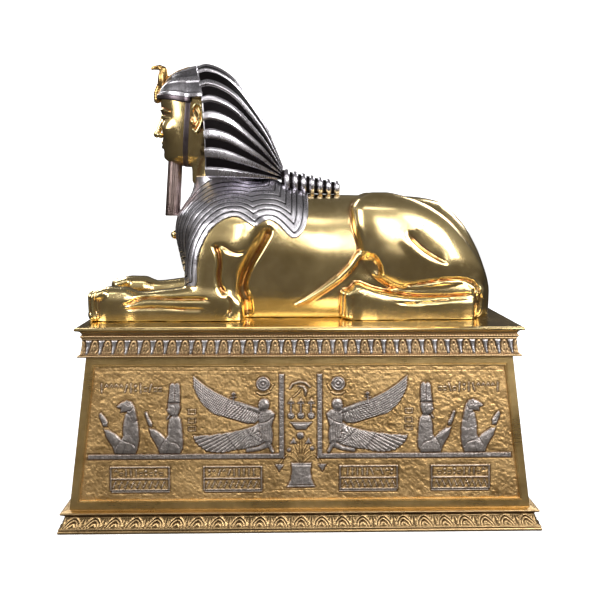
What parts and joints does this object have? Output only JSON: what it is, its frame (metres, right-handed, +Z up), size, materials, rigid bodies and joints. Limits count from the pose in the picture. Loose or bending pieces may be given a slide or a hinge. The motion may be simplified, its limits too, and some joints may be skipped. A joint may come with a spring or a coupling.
{
  "type": "sphinx statue",
  "caption": "Gilt bronze recumbent sphinx with silvered striped headcloth, broad collar and false beard, on a battered Egyptian plinth with relief panels.",
  "frame": {"origin": "on the ground, under the middle of the plinth", "axes": "+Z up; X along the plinth, the sphinx looks along -X; its left flank and the main relief panel face -Y"},
  "size_m": [0.8, 0.4164, 0.7832],
  "materials": {
    "base_moulding": "antique bronze, bright on the raised lips and leaves",
    "pedestal_body": "satin antique brass",
    "relief_panel": "hammered bronze-gold ground, pewter-silvered figures",
    "frieze_band": "bronze-gold ground with bright silvered flowers",
    "top_slab": "polished gilt",
    "gilt_body": "polished gilt, orange in the recesses",
    "silvered_cloth": "silvered, polished, blackened between the ribs",
    "silvered_collar": "silvered, engraved with dark lines",
    "silvered_queue": "silvered, blackened between the ribs",
    "false_beard": "dark brownish silver",
    "uraeus": "bronze-gold, polished",
    "collar_boss": "polished gilt"
  },
  "bodies": {
    "root": {"base_moulding": "base_moulding", "pedestal_body": "pedestal_body", "panel_front": "relief_panel", "panel_right": "relief_panel", "panel_back": "relief_panel", "panel_left": "relief_panel", "frieze_band": "frieze_band", "top_slab": "top_slab", "sphinx_body": "gilt_body", "nemes_headcloth": "silvered_cloth", "broad_collar": "silvered_collar", "queue": "silvered_queue", "false_beard": "false_beard", "uraeus": "uraeus", "collar_boss": "collar_boss"}
  },
  "joints": []
}
